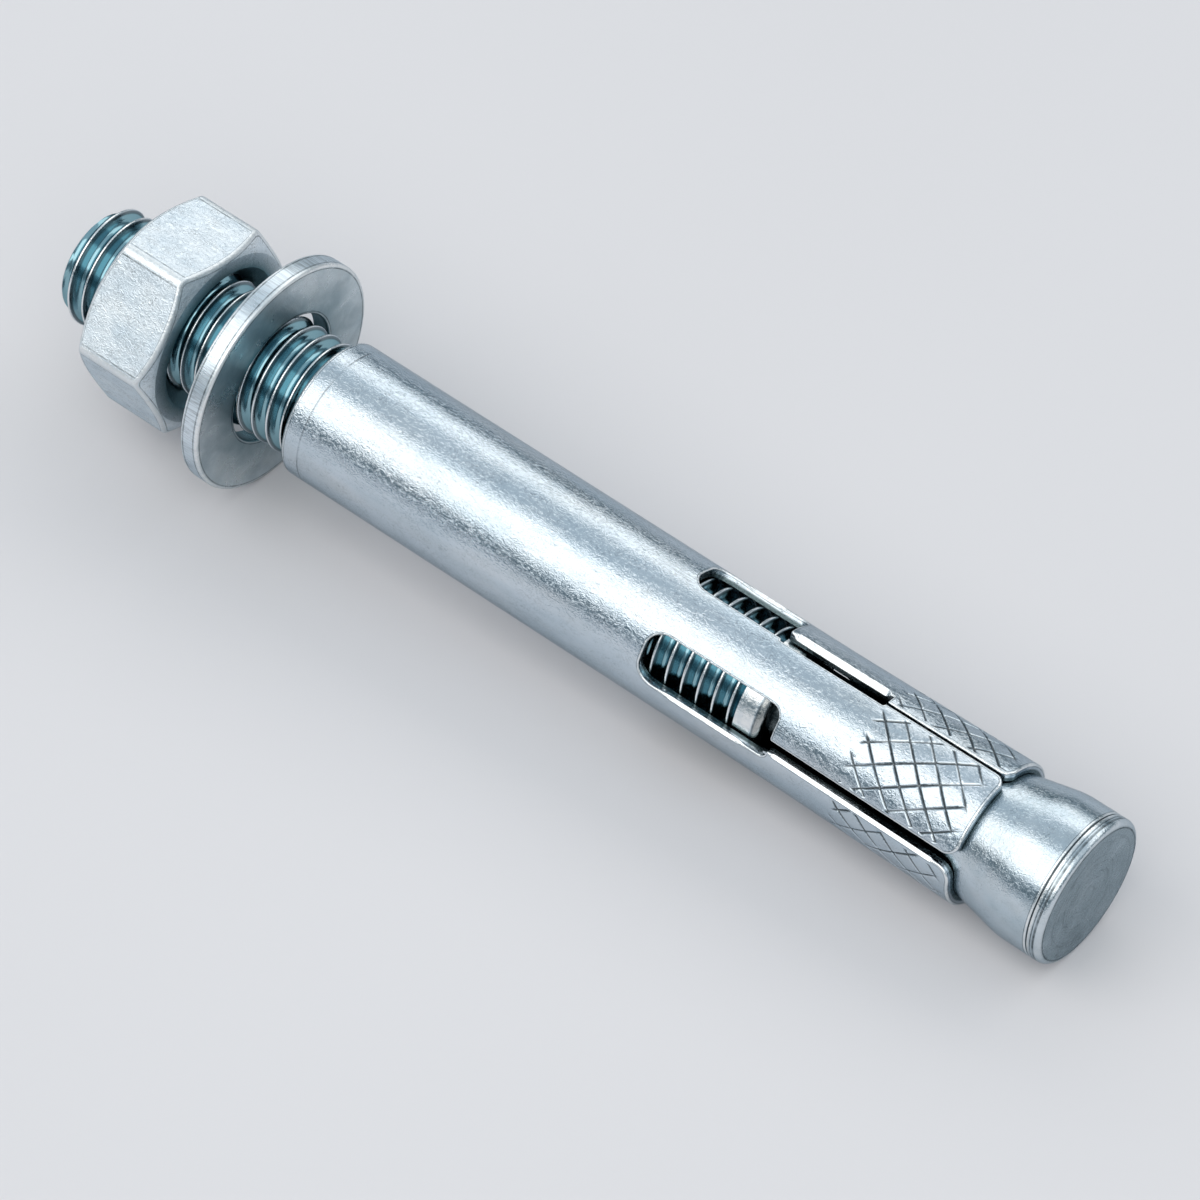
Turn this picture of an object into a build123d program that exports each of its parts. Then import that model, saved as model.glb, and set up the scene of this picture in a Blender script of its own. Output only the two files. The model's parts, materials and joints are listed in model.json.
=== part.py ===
# Sleeve anchor bolt with a loose washer and a hexagon nut, lying as it comes to rest
from math import asin, atan2, cos, hypot, radians, sin, sqrt, tan
import os

from build123d import *

# All lengths are in mm. Stations run along the bolt from the sleeve's plain end, towards the cone.

# Sizes that the whole part follows
thread_d = 12.0
sleeve_wall = 0.9
sleeve_length = 77.4

# Clearances, measured at the radius
sleeve_clearance = 0.1
seat_clearance = 0.06
washer_clearance = 0.75
nut_clearance = 0.06

# Lengths along the bolt outside the sleeve
head_projection = 10.1
washer_gap = 5.8
nut_gap = 5.7
tip_projection = 6.2

# Sleeve
thread_r = thread_d / 2
bore_r = thread_r + sleeve_clearance
sleeve_r = bore_r + sleeve_wall
mouth_chamfer = 0.4
leg_chamfer = 0.45

# Windows and slits in the sleeve, by angle around the bolt from straight up
long_window_length = 14.7
short_window_length = 10.3
leg_length = 20.6
long_window_end = sleeve_length - leg_length
window_start = long_window_end - long_window_length
short_window_end = window_start + short_window_length
window_width = 5.2
window_foot_round = 1.8
window_head_round = 1.2
long_window_angle = 63.5
short_window_angle = long_window_angle - 90
plain_slit_angle = long_window_angle + 9.0
plain_slit_width = 1.25
step_slit_angle = short_window_angle + 17.5
step_slit_width = 1.6
narrow_slit_angle = short_window_angle + 20.5
narrow_slit_width = 0.3
slit_lap = 1.0
plain_tip_round = 1.4
narrow_tip_round = 1.1
knurled_length = 13.4
knurl_start = sleeve_length - knurled_length

# Washer
washer_od = 2 * thread_d
washer_hole_d = thread_d + 2 * washer_clearance
washer_thickness = 2.0
washer_round = 0.3
washer_chamfer = 0.2
washer_front = -washer_gap
washer_station = washer_front - washer_thickness

# Nut
nut_wall = 3.5
nut_flats = thread_d + 2 * nut_wall
nut_corner_r = nut_flats / sqrt(3)
nut_thickness = 9.0
nut_station = washer_station - nut_gap - nut_thickness
nut_angle = -38.0
nut_face_inset = 0.475
nut_face_r = nut_flats / 2 - nut_face_inset
nut_chamfer_slope = radians(30)
nut_end_chamfer = (nut_corner_r - nut_face_r) * tan(nut_chamfer_slope)
nut_bore_r = thread_r + nut_clearance
nut_mouth_chamfer = 1.44

# Stud: the thread stops at a smooth collar that shows in the windows, then a thinner neck
tip_station = nut_station - tip_projection
tip_chamfer = 0.9
tip_r = thread_r - tip_chamfer
thread_in_window = 10.1
thread_end = window_start + thread_in_window
collar_length = 2.9
collar_step = 0.1
collar_r = thread_r - collar_step
collar_round = 0.8
neck_step = 1.4
neck_r = thread_r - neck_step

# Cone head, its outline worked back from the barrel
head_step = 0.38
head_r = sleeve_r + head_step
face_station = sleeve_length + head_projection
barrel_length = 4.1
rim_round = 0.6
cone_round = 9.0
cone_slope = radians(12)
barrel_start = face_station - barrel_length
cone_top_station = barrel_start - cone_round * sin(cone_slope)
cone_top_r = head_r - cone_round * (1 - cos(cone_slope))
cone_foot_station = cone_top_station - (cone_top_r - neck_r) / tan(cone_slope)

# The legs open just far enough to rest on the cone
leg_end_bore_r = cone_top_r - (cone_top_station - sleeve_length) * tan(cone_slope) + seat_clearance
leg_end_r = leg_end_bore_r + sleeve_wall

# Rest on the floor: the washer's rim and the cone's rim both touch it
washer_rim_r = washer_od / 2 - washer_round
washer_rim_station = washer_front - washer_round
head_rim_r = head_r - rim_round
head_rim_station = face_station - rim_round
rest_run = head_rim_station - washer_rim_station
rest_drop = washer_rim_r - head_rim_r
rest_tilt = atan2(rest_drop, rest_run) + asin((washer_round - rim_round) / hypot(rest_run, rest_drop))
axis_height = washer_rim_r * cos(rest_tilt) + washer_round + washer_rim_station * sin(rest_tilt)

# The origin is on the floor, midway between the two ends
reach_back = tip_station * cos(rest_tilt) - tip_r * sin(rest_tilt)
reach_front = head_rim_station * cos(rest_tilt) + head_rim_r * sin(rest_tilt) + rim_round
start_x = -(reach_back + reach_front) / 2

start = Vector(start_x, 0, axis_height)
along = Vector(cos(rest_tilt), 0, -sin(rest_tilt))
upward = Vector(sin(rest_tilt), 0, cos(rest_tilt))
sideways = Vector(0, -1, 0)
bolt_axis = Axis(start, along)
side_plane = Plane(origin=start, x_dir=along, z_dir=sideways)


def radial_plane(angle):
    outward = upward * cos(radians(angle)) + sideways * sin(radians(angle))
    return Plane(origin=start, x_dir=along, z_dir=outward)


def cross_plane(station):
    return Plane(origin=start + along * station, x_dir=upward, z_dir=along)


# Stud: threaded length as a plain rod, collar, neck and cone head in one piece
with BuildPart() as stud:
    with BuildSketch(side_plane):
        with BuildLine():
            Polyline(
                (tip_station, 0),
                (tip_station, tip_r),
                (tip_station + tip_chamfer, thread_r),
                (thread_end, thread_r),
                (thread_end, collar_r),
                (thread_end + collar_length - collar_round, collar_r),
            )
            RadiusArc(
                (thread_end + collar_length - collar_round, collar_r),
                (thread_end + collar_length, collar_r - collar_round),
                collar_round,
            )
            Polyline(
                (thread_end + collar_length, collar_r - collar_round),
                (thread_end + collar_length, neck_r),
                (cone_foot_station, neck_r),
                (cone_top_station, cone_top_r),
            )
            RadiusArc((cone_top_station, cone_top_r), (barrel_start, head_r), cone_round)
            Line((barrel_start, head_r), (head_rim_station, head_r))
            RadiusArc((head_rim_station, head_r), (face_station, head_rim_r), rim_round)
            Polyline((face_station, head_rim_r), (face_station, 0), (tip_station, 0))
        make_face()
    revolve(axis=bolt_axis)
stud.part.label = "stud"

# Sleeve: a thin tube that opens a little towards its leg ends
with BuildPart() as sleeve:
    with BuildSketch(side_plane):
        with BuildLine():
            Polyline(
                (mouth_chamfer, sleeve_r),
                (long_window_end, sleeve_r),
                (sleeve_length - leg_chamfer, leg_end_r),
                (sleeve_length, leg_end_r - leg_chamfer),
                (sleeve_length, leg_end_bore_r),
                (long_window_end, bore_r),
                (0, bore_r),
                (0, sleeve_r - mouth_chamfer),
                (mouth_chamfer, sleeve_r),
            )
        make_face()
    revolve(axis=bolt_axis)
    for turn in (0, 180):
        for angle, window_end in (
            (long_window_angle, long_window_end),
            (short_window_angle, short_window_end),
        ):
            with BuildSketch(radial_plane(angle + turn)) as window:
                with Locations(((window_start + window_end) / 2, 0)):
                    Rectangle(window_end - window_start, window_width)
                fillet(window.vertices().group_by(Axis.X)[0], window_foot_round)
                fillet(window.vertices().group_by(Axis.X)[-1], window_head_round)
            extrude(amount=2 * sleeve_r, mode=Mode.SUBTRACT)
        slits = (
            (plain_slit_angle, plain_slit_width, long_window_end, sleeve_length),
            (step_slit_angle, step_slit_width, short_window_end, knurl_start),
            (narrow_slit_angle, narrow_slit_width, knurl_start, sleeve_length),
        )
        for angle, width, slit_start, slit_end in slits:
            with BuildSketch(radial_plane(angle + turn)):
                with Locations(((slit_start - slit_lap + slit_end + slit_lap) / 2, 0)):
                    Rectangle(slit_end - slit_start + 2 * slit_lap, width)
            extrude(amount=2 * sleeve_r, mode=Mode.SUBTRACT)
        # Each slit widens at the leg ends, so that the legs have rounded corners
        slit_mouths = (
            (plain_slit_angle, plain_slit_width, plain_tip_round),
            (narrow_slit_angle, narrow_slit_width, narrow_tip_round),
        )
        for angle, width, tip_round in slit_mouths:
            with BuildSketch(radial_plane(angle + turn)):
                with Locations((sleeve_length + (slit_lap - tip_round) / 2, 0)):
                    Rectangle(slit_lap + tip_round, width + 2 * tip_round)
                with Locations(
                    (sleeve_length - tip_round, width / 2 + tip_round),
                    (sleeve_length - tip_round, -width / 2 - tip_round),
                ):
                    Circle(tip_round, mode=Mode.SUBTRACT)
            extrude(amount=2 * sleeve_r, mode=Mode.SUBTRACT)
sleeve.part.label = "sleeve"

# Washer: stamped, with its front rim rolled over and its other edges broken
with BuildPart() as washer:
    with BuildSketch(cross_plane(washer_station)):
        Circle(washer_od / 2)
        Circle(washer_hole_d / 2, mode=Mode.SUBTRACT)
    extrude(amount=washer_thickness)
    hole_edges = washer.edges().filter_by(GeomType.CIRCLE).group_by(SortBy.RADIUS)[0]
    rims = washer.edges().filter_by(GeomType.CIRCLE).group_by(SortBy.RADIUS)[-1]
    chamfer(hole_edges + rims.sort_by(bolt_axis)[:1], washer_chamfer)
    rims = washer.edges().filter_by(GeomType.CIRCLE).group_by(SortBy.RADIUS)[-1]
    fillet(rims.sort_by(bolt_axis)[-1], washer_round)
washer.part.label = "washer"

# Nut: a hexagon prism trimmed at both ends by a cone, with a countersunk bore
with BuildPart() as nut:
    with BuildSketch(cross_plane(nut_station)):
        RegularPolygon(nut_corner_r, 6, rotation=nut_angle)
    extrude(amount=nut_thickness)
    with BuildSketch(side_plane):
        with Locations((nut_station, 0)):
            Polygon(
                (0, nut_bore_r),
                (0, nut_face_r),
                (nut_end_chamfer, nut_corner_r),
                (nut_thickness - nut_end_chamfer, nut_corner_r),
                (nut_thickness, nut_face_r),
                (nut_thickness, nut_bore_r),
                align=None,
            )
    revolve(axis=bolt_axis, mode=Mode.INTERSECT)
    mouth_edges = nut.edges().filter_by(GeomType.CIRCLE).group_by(SortBy.RADIUS)[0]
    chamfer(mouth_edges, nut_mouth_chamfer)
nut.part.label = "nut"

os.makedirs("parts", exist_ok=True)
export_step(stud.part, "parts/stud.step")
export_step(sleeve.part, "parts/sleeve.step")
export_step(washer.part, "parts/washer.step")
export_step(nut.part, "parts/nut.step")
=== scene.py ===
# Sleeve anchor bolt in bright zinc, lying on a pale floor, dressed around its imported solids
import json
from math import asin, cos, pi, radians, sin, sqrt, tan

import bmesh
import bpy
import numpy as np
from bpy.props import FloatProperty, FloatVectorProperty, IntProperty, PointerProperty
from mathutils import Matrix, Vector
from mathutils.geometry import delaunay_2d_cdt
from mathutils.kdtree import KDTree


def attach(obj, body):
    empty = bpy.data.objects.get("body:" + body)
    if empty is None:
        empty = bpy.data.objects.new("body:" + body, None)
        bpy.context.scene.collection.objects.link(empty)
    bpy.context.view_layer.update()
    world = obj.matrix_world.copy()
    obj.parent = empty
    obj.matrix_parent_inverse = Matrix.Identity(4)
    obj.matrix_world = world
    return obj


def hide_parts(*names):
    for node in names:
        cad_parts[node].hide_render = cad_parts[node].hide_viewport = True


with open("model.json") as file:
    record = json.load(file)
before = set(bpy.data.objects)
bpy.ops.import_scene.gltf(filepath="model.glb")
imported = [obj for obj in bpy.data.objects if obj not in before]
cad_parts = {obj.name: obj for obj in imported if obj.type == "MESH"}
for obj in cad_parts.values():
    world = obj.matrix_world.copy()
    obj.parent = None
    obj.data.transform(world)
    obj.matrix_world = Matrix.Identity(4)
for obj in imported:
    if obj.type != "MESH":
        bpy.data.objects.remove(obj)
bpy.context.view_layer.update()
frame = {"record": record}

bl_info = {
    "name": "Sleeve anchor bolt",
    "version": (1, 0, 0),
    "blender": (4, 5, 0),
    "location": "3D View > Sidebar > Anchor bolt",
    "description": "Builds the zinc-plated sleeve anchor bolt around its packed solids",
    "category": "Add Mesh",
}

MM = 0.001

# Values of the point attribute "edge" on a rounded edge: at its tangent lines, and between them;
# the materials paint highlight and a shade line from them
TANGENT_FOLD = 0.4
ROUNDED_FOLD = 0.75

# The bolt's own axes. Stations run along the bolt from the sleeve's plain end, towards the cone.
MOUNTS = {mount["name"]: mount for mount in frame["record"]["mounts"]}
ALONG = Vector(MOUNTS["cone_face"]["axis"]).normalized()
SIDEWAYS = Vector((0, -1, 0))
UPWARD = SIDEWAYS.cross(ALONG)


def length(name, description, default_mm):
    """A length that a user can change, given in millimetres and kept in metres."""
    return FloatProperty(
        name=name,
        description=description,
        default=default_mm * MM,
        unit="LENGTH",
        precision=5,
    )


def angle(name, description, default_deg):
    """An angle that a user can change."""
    return FloatProperty(
        name=name,
        description=description,
        default=radians(default_deg),
        subtype="ANGLE",
    )


def colour(name, description, default):
    """A colour that a user can change, as linear red, green and blue."""
    return FloatVectorProperty(
        name=name,
        description=description,
        default=default,
        subtype="COLOR",
        size=3,
        min=0,
        max=1,
    )


def share(name, description, default, highest=1.0):
    """A plain number that a user can change."""
    return FloatProperty(
        name=name,
        description=description,
        default=default,
        min=0,
        max=highest,
    )


class ThreadSizes(bpy.types.PropertyGroup):
    """The bolt's thread"""

    diameter: length("Diameter", "Outer diameter of the thread", 12.0)
    pitch: length("Pitch", "Distance from one crest to the next", 1.75)
    first_crest: length("First crest", "Station of one crest, at the top of the bolt", -3.03)
    start: length("Start", "Station of the bolt's free end", -28.7)
    end: length("End", "Station where the thread stops", 52.2)
    tip_chamfer: length("Tip chamfer", "Chamfer at the free end", 0.9)


class HeadSizes(bpy.types.PropertyGroup):
    """Collar, neck and cone head"""

    collar_length: length("Collar length", "Smooth collar behind the thread", 2.9)
    collar_step: length("Collar step", "How far the collar lies inside the thread's crests", 0.1)
    collar_round: length("Collar round", "Rounding at the collar's end", 0.8)
    neck_radius: length("Neck radius", "Radius of the thin neck", 4.6)
    radius: length("Radius", "Radius of the barrel behind the cone", 7.38)
    face: length("Face", "Station of the cone's flat end", 87.5)
    barrel_length: length("Barrel length", "Length of the barrel, rim included", 4.1)
    rim_round: length("Rim round", "Rounding of the rim", 0.6)
    cone_round: length("Cone round", "Rounding between cone and barrel", 9.0)
    slope: angle("Slope", "Half angle of the cone", 12.0)
    line_inset: length("Line inset", "Distance of the turned line from the face", 1.4)
    line_width: length("Line width", "Width of the turned line", 0.22)
    line_depth: length("Line depth", "Depth of the turned line", 0.12)
    edge_band: length("Edge band", "Width of the faint line beside the rim", 0.25)


class SleeveSizes(bpy.types.PropertyGroup):
    """Expansion sleeve with its windows, slits and legs"""

    length: length("Length", "Length of the sleeve", 77.4)
    radius: length("Radius", "Outer radius of the sleeve", 7.0)
    wall: length("Wall", "Thickness of the sleeve's wall", 0.9)
    mouth_round: length("Mouth round", "Rounding of the plain end", 0.4)
    flare: length("Flare", "How far the legs stand out at their ends", 0.265)
    leg_length: length("Leg length", "Length of a leg beside a long window", 20.6)
    long_window: length("Long window", "Length of the two long windows", 14.7)
    short_window: length("Short window", "Length of the two short windows", 10.3)
    window_width: length("Window width", "Width of every window", 5.2)
    foot_round: length("Foot round", "Corner rounding at a window's start", 1.8)
    head_round: length("Head round", "Corner rounding at a window's end", 1.2)
    tip_round: length("Tip round", "Corner rounding at a leg's end", 1.4)
    edge_round: length("Edge round", "Rounding of the window edges", 0.13)
    tip_edge_round: length("Tip edge round", "Rounding of the edges at the leg ends", 0.2)
    edge_band: length("Edge band", "Width of the faint line beside every edge", 0.16)
    slit_bevel: length("Slit bevel", "Bevel along one side of every plain slit", 0.28)
    step_bevel: length("Step bevel", "Bevel along one side of every stepped slit", 0.5)
    window_bevel: length("Window bevel", "Bevel along one side of every window", 0.27)
    mouth_line: length("Mouth line", "Station of the faint rolled line by the plain end", 2.1)
    window_angle: angle("Window angle", "Angle of the first long window from the top", 63.5)
    plain_slit_turn: angle("Plain slit turn", "Plain slit, from its window's middle", 9.0)
    plain_slit_width: length("Plain slit width", "Width of the plain slits", 1.25)
    step_slit_turn: angle("Step slit turn", "Wide part of a stepped slit", 17.5)
    step_slit_width: length("Step slit width", "Width of a stepped slit's wide part", 1.6)
    narrow_slit_turn: angle("Narrow slit turn", "Narrow part of a stepped slit", 20.5)
    narrow_slit_width: length("Narrow slit width", "Width of a stepped slit's narrow part", 0.3)


class KnurlSizes(bpy.types.PropertyGroup):
    """Diamond knurl on the legs"""

    length: length("Length", "Length of the knurled part", 13.4)
    margin: length("Margin", "Smooth strip at the leg ends", 0.5)
    count: IntProperty(name="Count", description="Grooves around the sleeve, each way", default=18)
    width: length("Width", "Width of a groove", 0.36)
    depth: length("Depth", "Depth of a groove", 0.14)
    flat_slope: angle("Flat slope", "Angle of one set of grooves to the bolt", -33.0)
    steep_slope: angle("Steep slope", "Angle of the other set of grooves to the bolt", 42.5)
    flat_start: length("Flat start", "Place of one flat groove, 70 mm along the sleeve", 0.30)
    steep_start: length("Steep start", "Place of one steep groove, 70 mm along the sleeve", 0.54)


class WasherSizes(bpy.types.PropertyGroup):
    """Loose washer"""

    diameter: length("Diameter", "Outer diameter", 24.0)
    hole: length("Hole", "Diameter of the hole", 13.5)
    thickness: length("Thickness", "Thickness", 2.0)
    station: length("Station", "Station of the face towards the nut", -7.8)
    rim_round: length("Rim round", "Rounding of the front rim", 0.3)
    edge_round: length("Edge round", "Rounding of the other edges", 0.2)
    edge_band: length("Edge band", "Width of the faint line beside each edge", 0.25)


class NutSizes(bpy.types.PropertyGroup):
    """Hexagon nut"""

    flats: length("Flats", "Width across the flats", 19.0)
    thickness: length("Thickness", "Height of the nut", 9.0)
    station: length("Station", "Station of the outer face", -22.5)
    turn: angle("Turn", "Angle of one corner from the top", -38.0)
    face_inset: length("Face inset", "How far the end circle lies inside the flats", 0.475)
    chamfer: angle("Chamfer", "Slope of the end chamfers", 30.0)
    bore: length("Bore", "Radius of the bore", 6.06)
    mouth: length("Mouth", "Depth of the countersink", 1.44)
    edge_round: length("Edge round", "Softness of the six corners", 0.62)
    chamfer_round: length("Chamfer round", "Softness of the edges of the end chamfers", 0.3)
    # The corner and chamfer bands carry painted highlight, along with rubbed bare metal
    corner_band: length("Corner band", "Width of the worn band at the six corners", 0.95)
    chamfer_band: length("Chamfer band", "Width of the worn band at the chamfers", 0.55)


class FinishSettings(bpy.types.PropertyGroup):
    """Zinc finish of each piece, with the colours of its painted highlight and shade"""

    sleeve_light: colour("Sleeve, light", "Brighter zinc on the sleeve", (0.66, 0.73, 0.79))
    sleeve_dark: colour("Sleeve, dark", "Duller zinc on the sleeve", (0.52, 0.61, 0.68))
    cut: colour("Cut face", "Sheared steel in the windows and slits", (0.11, 0.15, 0.16))
    stud_light: colour("Stud, light", "Brighter zinc on the stud", (0.62, 0.70, 0.76))
    stud_dark: colour("Stud, dark", "Duller zinc on the stud", (0.50, 0.59, 0.65))
    # Blue-green passivation, with painted shade, in the thread's roots
    recess_tint_and_shade: colour("Recess", "Blue-green passivation in the thread", (0.26, 0.44, 0.50))
    # Painted shade on the collar's rounded end, as a dark warm grey
    bend: colour("Collar's bend", "Dull warm zinc on the collar's rounded end", (0.23, 0.23, 0.21))
    # Darker tint on the cone's flat end and on the tip
    end_face: colour("End face", "Dull zinc on the cone's flat end", (0.33, 0.39, 0.42))
    washer_light: colour("Washer, light", "Brighter zinc on the washer", (0.72, 0.79, 0.82))
    washer_dark: colour("Washer, dark", "Duller zinc on the washer", (0.46, 0.54, 0.58))
    nut_light: colour("Nut, light", "Brighter zinc on the nut", (0.88, 0.94, 0.98))
    nut_dark: colour("Nut, dark", "Duller zinc on the nut", (0.72, 0.81, 0.88))
    rim: colour("Washer rim", "Bright brushed zinc on the washer's rim", (0.74, 0.82, 0.88))
    # Painted shade in the washer's hole, in the nut's bore and on the faces around them
    hollow_shade: colour("Hollow", "Dark zinc in the hole and the bore", (0.13, 0.22, 0.25))
    # Bright edge colour: painted highlight on rounded edges and thread crests, with some rubbed
    # bare metal
    wear_and_highlight: colour("Worn edge", "Bare bright metal along worn edges", (0.86, 0.88, 0.88))
    # Dark line colour: painted shade beside bright edges, in grooves and below the crests, and
    # real dark grain, scratches, brushing, turning rings and the rolled line
    line: colour("Edge line", "Dark film beside worn edges and in grooves", (0.08, 0.095, 0.10))
    warm: colour("Warm tint", "Faint straw tint of the plating", (0.66, 0.64, 0.60))
    grazing: colour("Grazing tint", "Share of light left at a flat angle", (0.54, 0.60, 0.64))
    sleeve_roughness: share("Sleeve roughness", "Roughness of the sleeve", 0.13)
    stud_roughness: share("Stud roughness", "Roughness of the stud", 0.12)
    washer_roughness: share("Washer roughness", "Roughness of the washer", 0.30)
    nut_roughness: share("Nut roughness", "Roughness of the nut", 0.40)


class StageSettings(bpy.types.PropertyGroup):
    """Floor, light and camera"""

    floor_colour: colour("Floor colour", "Colour of the floor", (0.676, 0.666, 0.684))
    floor_size: length("Floor size", "Side of the floor", 8000.0)
    sky_colour: colour("Sky colour", "Light from all over the room", (0.60, 0.68, 0.74))
    lamp_colour: colour("Lamp colour", "Colour of both soft lights", (1.0, 0.93, 0.86))
    gap_colour: colour("Gap colour", "Dark band below the soft lights", (0.17, 0.22, 0.25))
    light_distance: length("Light distance", "From the bolt to each soft light", 1500.0)
    light_width: length("Light width", "Width of both soft lights", 3500.0)
    near_low: angle("Near light from", "Lower edge of the near soft light", 29.0)
    near_high: angle("Near light to", "Upper edge of the near soft light", 80.0)
    near_radiance: share("Near radiance", "Brightness of the near soft light", 1.25, 10.0)
    far_low: angle("Far light from", "Lower edge of the far soft light", 29.5)
    far_high: angle("Far light to", "Upper edge of the far soft light", 58.0)
    far_radiance: share("Far radiance", "Brightness of the far soft light", 0.90, 10.0)
    camera_turn: angle("Camera turn", "Turn of the camera to the right of the bolt", 39.063)
    camera_height: angle("Camera height", "Angle of the camera over the floor", 47.486)
    camera_distance: length("Camera distance", "From the aimed point to the camera", 588.38)
    camera_aim: FloatVectorProperty(
        name="Camera aim",
        description="Point that the camera looks at",
        default=(4.333 * MM, -1.717 * MM, 10.0 * MM),
        subtype="TRANSLATION",
        precision=5,
    )
    camera_lens: FloatProperty(
        name="Lens",
        description="Focal length in millimetres on a 36 mm sensor",
        default=195.0,
        unit="CAMERA",
    )


class AnchorBoltSettings(bpy.types.PropertyGroup):
    """Everything about the anchor bolt that can be changed"""

    thread: PointerProperty(type=ThreadSizes)
    head: PointerProperty(type=HeadSizes)
    sleeve: PointerProperty(type=SleeveSizes)
    knurl: PointerProperty(type=KnurlSizes)
    washer: PointerProperty(type=WasherSizes)
    nut: PointerProperty(type=NutSizes)
    finish: PointerProperty(type=FinishSettings)
    stage: PointerProperty(type=StageSettings)


def bolt_matrix(head):
    """Turns stations and cross-sections of the bolt into the frame's own place."""
    start = Vector(MOUNTS["cone_face"]["pos_m"]) - ALONG * head.face
    turn = Matrix((ALONG, UPWARD, SIDEWAYS)).transposed()
    return Matrix.Translation(start) @ turn.to_4x4()


def even_angles(columns):
    """Angles of evenly spaced columns around the bolt."""
    return 2 * pi * np.arange(columns) / columns


def on_bolt(stations, radii, angles):
    """Points in the bolt's own axes; angles run from the top towards the near side."""
    stations, radii, angles = np.broadcast_arrays(stations, radii, angles)
    points = (stations, radii * np.cos(angles), radii * np.sin(angles))
    return np.stack(points, axis=-1).reshape(-1, 3)


def spun(outline, columns):
    """Stations and radii of an outline's points, each repeated for every column."""
    return [np.repeat(values[:, None], columns, axis=1) for values in np.array(outline).T]


def sheet_faces(rows, columns, wrapped_rows=None):
    """Four-sided faces of a sheet that closes around the bolt.

    After a full turn each row meets the row that wrapped_rows gives, or else itself.
    """
    wrapped_rows = wrapped_rows or range(rows)
    faces = []
    for column in range(columns):
        for row in range(rows - 1):
            left = column * rows + row
            if column < columns - 1:
                right, right_next = left + rows, left + rows + 1
            else:
                right, right_next = wrapped_rows[row], wrapped_rows[row + 1]
            faces.append((left, left + 1, right_next, right))
    return [tuple(dict.fromkeys(face)) for face in faces if len(set(face)) > 2]


def lathed(outline, angles):
    """Points and faces of an outline of (station, radius) that is turned around the bolt."""
    stations, radii = spun(outline, len(angles))
    points = on_bolt(stations.T, radii.T, angles[:, None])
    return points, sheet_faces(len(outline), len(angles))


def arc(centre, radius, first, last, steps):
    """Points of an arc in station and radius, both ends included."""
    turns = [first + (last - first) * step / steps for step in range(steps + 1)]
    return [(centre[0] + radius * cos(turn), centre[1] + radius * sin(turn)) for turn in turns]


def vertex_fold(vertex):
    """How sharply the surface folds at a vertex, in steps of 30 degrees; inward is negative."""
    folds = [edge.calc_face_angle_signed(0.0) / radians(30) for edge in vertex.link_edges]
    return max(folds, key=abs, default=0.0)


def rounding_folds(rows):
    """Folds across a rounded edge, from one of its tangent lines to the other."""
    return [TANGENT_FOLD] + [ROUNDED_FOLD] * (rows - 2) + [TANGENT_FOLD]


def add_piece(name, points, faces, material, matrix, crease=40.0, edges=None):
    """A smooth-shaded object from points in the bolt's own axes, with doubled points merged.

    Edges that fold by more than the crease, in degrees, are shaded sharp. The point attribute
    "edge" holds the given folds, or else those that are measured at each vertex.
    """
    mesh = bpy.data.meshes.new(name)
    mesh.from_pydata([tuple(p) for p in points], [], faces)
    layer = mesh.attributes.new("edge", "FLOAT", "POINT")
    if edges is not None:
        layer.data.foreach_set("value", edges)
    merge_distance = 0.0005 * MM
    build = bmesh.new()
    build.from_mesh(mesh)
    bmesh.ops.remove_doubles(build, verts=build.verts, dist=merge_distance)
    bmesh.ops.dissolve_degenerate(build, edges=build.edges, dist=merge_distance)
    loose = [vertex for vertex in build.verts if not vertex.link_faces]
    bmesh.ops.delete(build, geom=loose, context="VERTS")
    bmesh.ops.recalc_face_normals(build, faces=build.faces)
    if edges is None:
        edge = build.verts.layers.float["edge"]
        for vertex in build.verts:
            vertex[edge] = vertex_fold(vertex)
    build.to_mesh(mesh)
    build.free()
    mesh.transform(matrix)
    mesh.polygons.foreach_set("use_smooth", [True] * len(mesh.polygons))
    mesh.set_sharp_from_angle(angle=radians(crease))
    mesh.materials.append(material)
    piece = bpy.data.objects.new(name, mesh)
    bpy.context.scene.collection.objects.link(piece)
    return piece


def dress(piece, body, node):
    """The piece moves with a body and stands for its solid."""
    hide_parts(node)
    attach(piece, body)


def thread_depth(phase, pitch):
    """Depth of a rolled 60 degree thread with narrow crests and wide round roots.

    The phase is 0 on a crest and 0.5 in the middle of a root.
    """
    half_crest, root, softness = 0.045 * pitch, 0.56 * pitch, 0.228 * pitch
    away = np.abs(phase - np.round(phase)) * pitch
    flank = np.clip((away - half_crest) * sqrt(3), 0, None)
    blend = np.clip(0.5 + 0.5 * (root - flank) / softness, 0, 1)
    return flank * blend + root * (1 - blend) - softness * blend * (1 - blend)


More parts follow.
